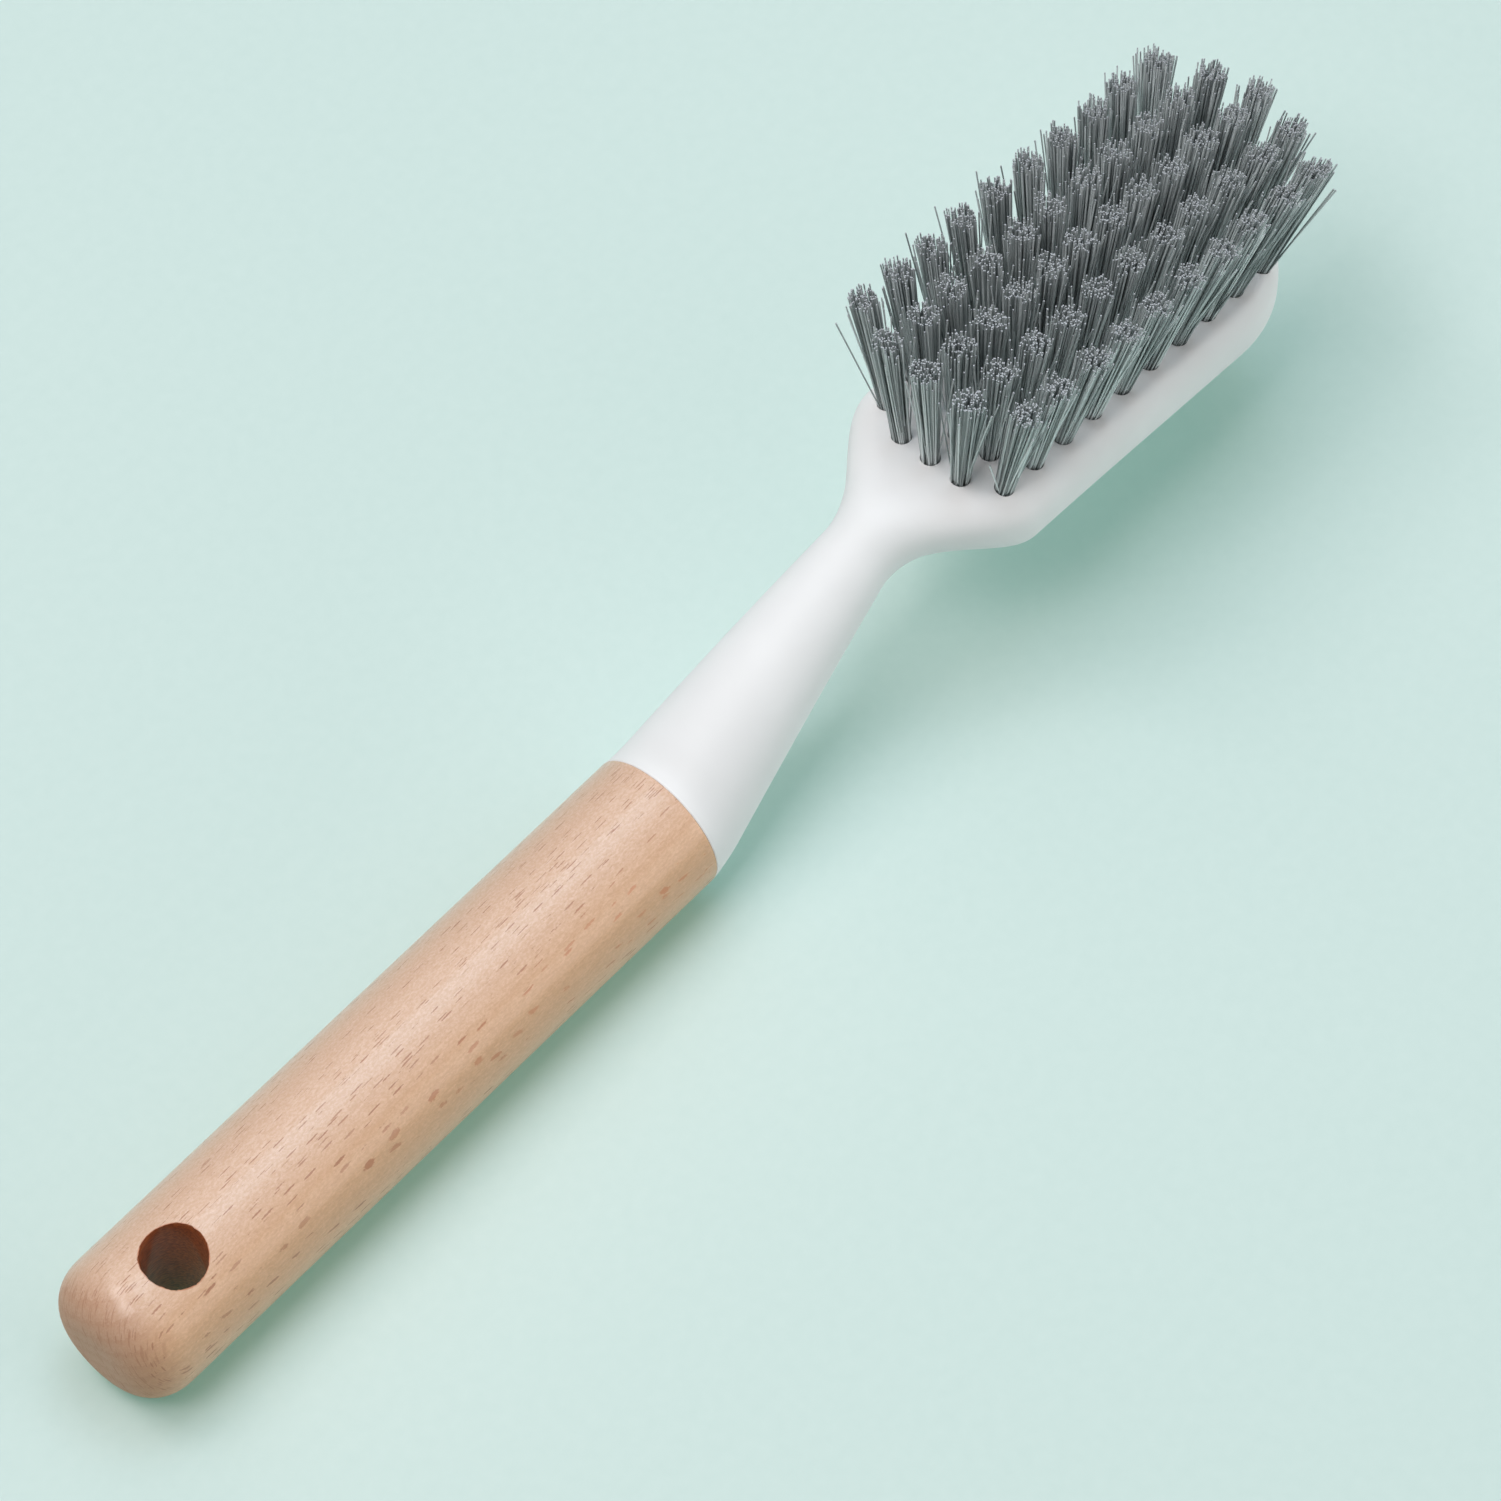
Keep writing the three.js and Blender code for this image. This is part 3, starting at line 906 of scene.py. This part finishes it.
def late_wood(place, fibre):
    """The darker part of each growth ring, by its distance from the heart of the tree."""
    across, outward = place.part("Y"), place.part("Z") + HEART_DEPTH
    from_heart = (across * across + outward * outward) ** 0.5
    ring_share = (from_heart / RING_WIDTH + RING_WAVE * fibre) % 1.0
    return ring_share.step(0.55, 0.95) * ring_share.step(1.0, 0.96)


def burn_and_shade_mask(bench):
    """1 on the wall of the hanging hole, which is coloured darker for the drill's burn and for painted shade."""
    place = place_from(bench, from_joint(HOLE_X, 0, HANDLE_RADIUS), (-HOLE_TURN, 0, 0))
    along, across = place.part("X"), place.part("Y") - HOLE_SIDE
    reach = (along * along + across * across) ** 0.5
    return reach.step(*(HOLE_RADIUS + more for more in BURN_AND_SHADE_REACH))


# %% Beech
MOTTLE = (1.8, 3.0, 3.0)
FIBRE = (0.5, 2.2, 2.2)
PORE = (1.2, 3.2, 3.2)
# Where the painted light turns from the near side's tone to the far side's, in millimetres across.
PAINTED_LIGHT_SIDE_SPAN = (-11.0, -3.0)
FLAT_CUT = (0.75 * HANDLE_RADIUS, 0.97 * HANDLE_RADIUS)
END_GRAIN = (BUTT_RADIUS - HANDLE_LENGTH, 1.0 - HANDLE_LENGTH)
# Each pair is a near side colour and a far side colour, and the step between them is painted light.
DARK_FIBRE_PAINTED_SIDES = srgb(219, 169, 127), srgb(217, 180, 154)
PALE_FIBRE_PAINTED_SIDES = srgb(228, 180, 140), srgb(226, 191, 168)
MOTTLE_BROWN = srgb(198, 148, 110)
RING_BROWN = srgb(188, 138, 108)
PORE_BROWN = srgb(184, 132, 100)
RAY_BROWNS = srgb(148, 82, 50), srgb(206, 126, 80)
# Browns of the bore's wall: partly the drill's burn, partly painted shade in the deep hole.
BURN_AND_SHADE_BROWNS = srgb(160, 84, 46), srgb(198, 117, 70)
BEECH_BUMP = {"strength": 0.4, "distance": 0.00008}


def make_beech():
    material, bench, shader = new_finish("beech", IOR=1.5, Coat_Roughness=0.17)
    place = wood_place(bench)
    mottle = noise_at(bench, stretched(bench, place, MOTTLE), Scale=1.0, Detail=3.0, Roughness=0.7)
    fibre = noise_at(bench, stretched(bench, place, FIBRE), Scale=1.2, Detail=4.0)
    pore = noise_at(bench, stretched(bench, place, PORE), Scale=1.4, Detail=2.0)
    end_grain = place.part("X").step(*END_GRAIN)
    ray = beech_rays(bench, place, mottle).at_least(ray_lines(bench, place) * end_grain * 0.7)
    # Painted light: the wood is yellower on its near side and pinker on its far side.
    far_side_painted_light = (object_place(bench).part("Y") * IN_MM).step(*PAINTED_LIGHT_SIDE_SPAN)
    colour = fibre.step(0.3, 0.72).mix(far_side_painted_light.mix(*DARK_FIBRE_PAINTED_SIDES), far_side_painted_light.mix(*PALE_FIBRE_PAINTED_SIDES))
    colour = (mottle.step(0.62, 0.4) * 0.36).mix(colour, MOTTLE_BROWN)
    colour = (late_wood(place, fibre) * (0.1 + 0.35 * end_grain)).mix(colour, RING_BROWN)
    colour = (pore.step(0.58, 0.72) * 0.25).mix(colour, PORE_BROWN)
    flat_cut = abs(place.part("Y")).step(*FLAT_CUT)
    colour = (ray * 0.7).mix(colour, flat_cut.mix(*RAY_BROWNS))
    colour = (end_grain * 0.6).mix(colour, RING_BROWN)
    # The bore's wall is darker and redder: partly the drill's burn, partly painted shade in the deep hole.
    burn_and_shade_colour = fibre.step(0.35, 0.65).mix(*BURN_AND_SHADE_BROWNS)
    burn_and_shade_mask(bench).mix(colour, burn_and_shade_colour).into(shader, "Base Color")
    (0.45 + 0.05 * fibre + 0.2 * ray + 0.15 * end_grain).into(shader, "Roughness")
    (0.65 - 0.65 * end_grain).into(shader, "Coat Weight")
    add_bump(bench, shader, mottle * 0.3 - ray * 0.6 - pore.step(0.6, 0.72) * 0.5, **BEECH_BUMP)
    return material


handle.data.materials.append(make_beech())
fit(handle, "wooden_handle")

# %% [markdown]
# Nylon filaments are about 0.3 mm thick, and 130 of them come out of each hole.
# The colour is an even grey, but no two filaments are quite alike, and their cut ends catch the light.
# The tree below writes two values on every filament, its own tone, with a painted highlight on the broken one, and
# how far up it is, and the finish reads them.

# %% Nylon
NYLON_GREYS = srgb(112, 121, 122), srgb(246, 252, 252)
NYLON_UPPER = srgb(184, 188, 190)
NYLON_CUT = srgb(176, 179, 184)


def make_nylon():
    material, bench, shader = new_finish("grey_nylon", Roughness=0.36, IOR=1.53)
    # Each filament's own tone, and on the broken filament a painted highlight.
    own = bench.add("ShaderNodeAttribute", out="Fac", attribute_name="tone_and_highlight")
    rise = bench.add("ShaderNodeAttribute", out="Fac", attribute_name="rise")
    colour = (rise.step(0.55, 0.97) * 0.3).mix(own.mix(*NYLON_GREYS), NYLON_UPPER)
    rise.step(0.985, 1.0).mix(colour, NYLON_CUT).into(shader, "Base Color")
    return material


grey_nylon = make_nylon()
print("finish:", grey_nylon.name)

# %% [markdown]
# A tuft is a bundle that is folded in half round a flat piece of wire and driven into its hole.
# The tree scatters filaments in a disc on every tuft point, gives each its own spread, height and bend,
# draws it as a line of a few points from under the wire to its cut end, and sweeps a small square along it.

# %% Filament lines
FILAMENT_POINTS = 9
FOLD_DEPTH = 6.1
BESIDE_WIRE_DEPTH = 5.5
BESIDE_WIRE = 0.5


def store(bench, geometry, name, value, kind):
    values = {"Geometry": geometry, "Name": name, "Value": value}
    return bench.add("GeometryNodeStoreNamedAttribute", values, data_type=kind, domain="POINT")


def stored_vector(bench, name):
    return bench.add("GeometryNodeInputNamedAttribute", {"Name": name}, data_type="FLOAT_VECTOR")


def filament_lines(bench, given, roots):
    """A line on every root: under the wire, past it, out of the hole and on to its cut end."""
    line = bench.add("GeometryNodeCurvePrimitiveLine", {"End": (0.0, 0.0, 1e-6)})
    line = bench.add("GeometryNodeResampleCurve", {"Curve": line, "Count": FILAMENT_POINTS})
    placed = bench.add("GeometryNodeInstanceOnPoints", {"Points": roots, "Instance": line})
    lines = bench.add("GeometryNodeRealizeInstances", {"Geometry": placed})
    point = bench.add("GeometryNodeSplineParameter", out="Index")
    rise = (point - 2.0).at_least(0.0) / (FILAMENT_POINTS - 3)
    under = 1.0 - point.over(0.5)
    beside = 1.0 - point.over(1.5) - under
    above = point.over(1.5)
    root, end, axis = (stored_vector(bench, name) for name in ("root_at", "end_at", "tuft_axis"))
    root_u, root_v = (root.part(letter) for letter in "XY")
    end_u, end_v, trim = (end.part(letter) for letter in "XYZ")
    height = rise * trim - under * (FOLD_DEPTH / TUFT_HEIGHT) - beside * (BESIDE_WIRE_DEPTH / TUFT_HEIGHT)
    u = root_u + (end_u - root_u) * rise
    v = above * (root_v + (end_v - root_v) * rise)
    side = root_v.over(0.0) * 2.0 - 1.0
    v = v + beside * side * abs(root_v).at_least(BESIDE_WIRE * MM)
    shift = axis * height + u * FACE_ALONG + v * FACE_ACROSS
    moved = bench.add("GeometryNodeInputPosition") + shift
    moved = moved.at_least(given["Low"]).at_most(given["High"])
    lines = bench.add("GeometryNodeSetPosition", {"Geometry": lines, "Position": moved})
    return store(bench, lines, "rise", rise, "FLOAT")


# %% Filament tree
GOLDEN_TURN = 2.39996
TUFT_TURN = 0.37
REACH_JITTER = 0.13
TURN_JITTER = 0.4
TUFT_UNEVEN = 0.4
STRAY_DROP = 0.12
BROKEN_RISE = 0.38
BROKEN_LEAN = (-1.2, 1.6)


def filament_tree():
    inputs = {"Filaments": "count", "Radius": "number", "Root": "number", "Tip": "number", "Trim": "number"}
    inputs.update({"Bend": "number", "Stray": "number", "Stray share": "number", "Seed": "count"})
    inputs.update({"Broken": "count", "Low": "vector", "High": "vector", "Finish": "finish"})
    tree, bench, given = new_tree("filaments", **inputs)

    def chance(seed, low=0.0, high=1.0, **values):
        values.update({"Min_001": low, "Max_001": high, "Seed": given["Seed"] + seed})
        return bench.add("FunctionNodeRandomValue", values, out="Value_001", data_type="FLOAT")

    bunch = bench.add("GeometryNodePoints", {"Count": given["Filaments"]})
    spread = bench.add("GeometryNodeInstanceOnPoints", {"Points": given["Geometry"], "Instance": bunch})
    roots = bench.add("GeometryNodeRealizeInstances", {"Geometry": spread})
    index = bench.add("GeometryNodeInputIndex")
    place = index % given["Filaments"]
    tuft = index - place
    reach = ((place + 0.5) / given["Filaments"]) ** 0.5 + chance(1, -REACH_JITTER, REACH_JITTER)
    turn = place * GOLDEN_TURN + chance(2, -TURN_JITTER, TURN_JITTER) + tuft * TUFT_TURN
    ways = [bench.sum(operation, turn) for operation in ("COSINE", "SINE")]
    stray = ((chance(3) - 1.0 + given["Stray share"]) / given["Stray share"]).at_least(0.0)
    tip = reach * given["Tip"] + stray * stray * given["Stray"]
    broken = 1.0 - abs(index - given["Broken"]).over(0.5)
    root, end = {}, {}
    for i, (letter, way) in enumerate(zip("XY", ways)):
        uneven = chance(10 + i, -TUFT_UNEVEN * MM, TUFT_UNEVEN * MM, ID=tuft)
        bend = chance(4 + i, -1.0) * given["Bend"]
        root[letter] = way * reach * given["Root"]
        end[letter] = way * tip + bend + uneven + broken * (BROKEN_LEAN[i] * MM)
    trimmed = 1.0 - given["Trim"] * chance(6) * chance(7) - STRAY_DROP * stray * chance(9)
    end["Z"] = trimmed * (1.0 - broken * (1.0 - BROKEN_RISE))
    roots = store(bench, roots, "root_at", bench.add("ShaderNodeCombineXYZ", root), "FLOAT_VECTOR")
    roots = store(bench, roots, "end_at", bench.add("ShaderNodeCombineXYZ", end), "FLOAT_VECTOR")
    # The broken filament takes the lightest grey: a painted highlight for the light along it.
    roots = store(bench, roots, "tone_and_highlight", chance(8).at_least(broken), "FLOAT")
    lines = filament_lines(bench, given, roots)
    square_profile = bench.add("GeometryNodeCurvePrimitiveCircle", {"Resolution": 4, "Radius": given["Radius"]})
    swept = {"Curve": lines, "Profile Curve": square_profile, "Fill Caps": True}
    tubes = bench.add("GeometryNodeCurveToMesh", swept)
    end_tree(tree, bench.add("GeometryNodeSetShadeSmooth", {"Geometry": tubes}), given["Finish"])
    return tree


# %% Bristles
FILAMENTS = 130
FILAMENT_RADIUS = 0.15
ROOT_RADIUS = 1.38
TIP_RADIUS = 2.3
TRIM = 0.13
BEND = 0.45
STRAY_REACH = 2.6
STRAY_SHARE = 0.2
BROKEN_FILAMENT = 127
NONE_BROKEN = -1
MARGIN_RADII = 1.5

filaments = filament_tree()
sizes = {"Filaments": FILAMENTS, "Radius": FILAMENT_RADIUS * MM, "Root": ROOT_RADIUS * MM, "Tip": TIP_RADIUS * MM}
sizes.update({"Trim": TRIM, "Bend": BEND * MM, "Stray": STRAY_REACH * MM, "Stray share": STRAY_SHARE})
margin = Vector((1, 1, 1)) * FILAMENT_RADIUS * MM * MARGIN_RADII
sizes.update({"Low": cad_low + margin, "High": cad_high - margin, "Finish": grey_nylon})
tuft_rows = {"bristles_left": (1, 2), "bristles_middle": (0,), "bristles_right": (-2, -1)}
for seed, (node, rows) in enumerate(tuft_rows.items()):
    bristles = tuft_points("nylon_" + node, rows)
    broken = BROKEN_FILAMENT if node == "bristles_right" else NONE_BROKEN
    mesh = grow(bristles, filaments, Seed=100 * seed, Broken=broken, **sizes)
    for spare in ("tuft_axis", "root_at", "end_at"):
        if spare in mesh.attributes:
            mesh.attributes.remove(mesh.attributes[spare])
    fit(bristles, node)

# %% [markdown]
# The anchors are flat bits of drawn wire deep in the tuft holes. Their CAD shape is right, so they stay,
# and only their finish changes: bright metal with fine lines along the wire.

# %% Anchor wire
DRAWN_LINES = (300.0, 6000.0, 6000.0)
WIRE_GREYS = srgb(168, 169, 171), srgb(205, 206, 208)


def make_wire():
    material, bench, shader = new_finish("anchor_wire", Metallic=1.0)
    lines = noise_at(bench, stretched(bench, object_place(bench), DRAWN_LINES), Scale=1.0, Detail=3.0)
    lines.mix(*WIRE_GREYS).into(shader, "Base Color")
    (0.25 + 0.2 * lines).into(shader, "Roughness")
    return material


anchor_wire = make_wire()
anchors = [node for name, node in nodes.items() if name.startswith("anchor_")]
for anchor in anchors:
    anchor.data.materials.clear()
    anchor.data.materials.append(anchor_wire)
print("anchors dressed:", len(anchors))

# %% [markdown]
# The brush lies on pale mint paper, which is a stage and not a part of the brush.
# In the photo the shadows on it are greener than the paper itself, so the paper is nearly grey
# and its mint is a faint glow of its own: where the lamps are hidden the glow stays, and a shadow turns to mint.

# %% Paper
PAPER_HALF = 4.0
PAPER_GLOW = (0.0, 0.12, 0.08, 1.0)
PAPER_TOOTH = {"Scale": 420.0, "Detail": 4.0}
PAPER_GREYS = srgb(208, 211, 211), srgb(214, 216, 216)


def make_paper():
    constants = {"Roughness": 0.85, "Specular_IOR_Level": 0.2, "Emission_Strength": 1.0}
    material, bench, shader = new_finish("mint_paper", Emission_Color=PAPER_GLOW, **constants)
    tooth = noise_at(bench, object_place(bench), **PAPER_TOOTH)
    tooth.mix(*PAPER_GREYS).into(shader, "Base Color")
    return material


paper_mesh = bpy.data.meshes.new("paper")
paper_corners = [(x * PAPER_HALF, y * PAPER_HALF, 0) for x, y in ((-1, -1), (1, -1), (1, 1), (-1, 1))]
paper_mesh.from_pydata(paper_corners, [], [(0, 1, 2, 3)])
paper_mesh.materials.append(make_paper())
paper = new_object("paper", paper_mesh)
print("paper:", 2 * PAPER_HALF, "m square")

# %% [markdown]
# The light is soft and comes from nearly everywhere above, most of it from the upper left of the picture.
# Softboxes stand round the brush and face its middle. One is cooler than the rest, and draws the pale streak
# along the handle. The background shows only to a ray that looks at it or is mirrored to it, so it lights no
# matt surface.

# %% Softboxes
SOFTBOX_REACH = 1.3
COOL = (0.62, 0.87, 1.0)
WHITE = (1.0, 1.0, 1.0)
softboxes = {
    "streak_softbox": {"elevation": 73.5, "azimuth": 24, "power": 2.4, "size": (0.55, 0.5)},
    "far_softbox": {"elevation": 65, "azimuth": 58, "power": 6.2, "size": (1.5, 1.5)},
    "far_left_softbox": {"elevation": 65, "azimuth": 120, "power": 3.9},
    "left_softbox": {"elevation": 65, "azimuth": 180, "power": 5.6},
    "near_softbox": {"elevation": 55, "azimuth": 290, "power": 2.1, "size": (0.9, 0.9)},
    "low_softbox": {"elevation": 15, "azimuth": 315, "power": 5.7, "size": (1.8, 0.6)},
}


def add_softbox(name, elevation, azimuth, power, size=(0.5, 0.5), spin=0, colour=WHITE):
    data = bpy.data.lights.new(name, "AREA")
    data.shape = "RECTANGLE"
    data.size, data.size_y = size
    data.energy = power
    data.color = colour
    softbox = bpy.data.objects.new(name, data)
    rise, turn = math.radians(elevation), math.radians(azimuth)
    away = Vector((math.cos(turn) * math.cos(rise), math.sin(turn) * math.cos(rise), math.sin(rise)))
    softbox.location = SOFTBOX_REACH * away
    facing = away.to_track_quat("Z", "Y") @ Quaternion((0, 0, 1), math.radians(spin))
    softbox.rotation_euler = facing.to_euler()
    bpy.context.scene.collection.objects.link(softbox)


softboxes["streak_softbox"].update({"spin": -24, "colour": COOL})
for name, values in softboxes.items():
    add_softbox(name, **values)
print("softboxes:", len(softboxes))

# %% Background
BACKGROUND = 0.9
SEEN_BY = ("Is Camera Ray", "Is Glossy Ray", "Is Transmission Ray")

world = bpy.data.worlds.new("studio")
bpy.context.scene.world = world
world.use_nodes = True
sky = world.node_tree.nodes["Background"]
sky.inputs["Color"].default_value = (*WHITE, 1.0)
room = Wire(world.node_tree)
seen, mirrored, through = (room.add("ShaderNodeLightPath", out=ray) for ray in SEEN_BY)
(BACKGROUND * (seen + mirrored + through)).into(sky, "Strength")
bpy.context.scene.view_settings.view_transform = "Standard"
print("background:", BACKGROUND)
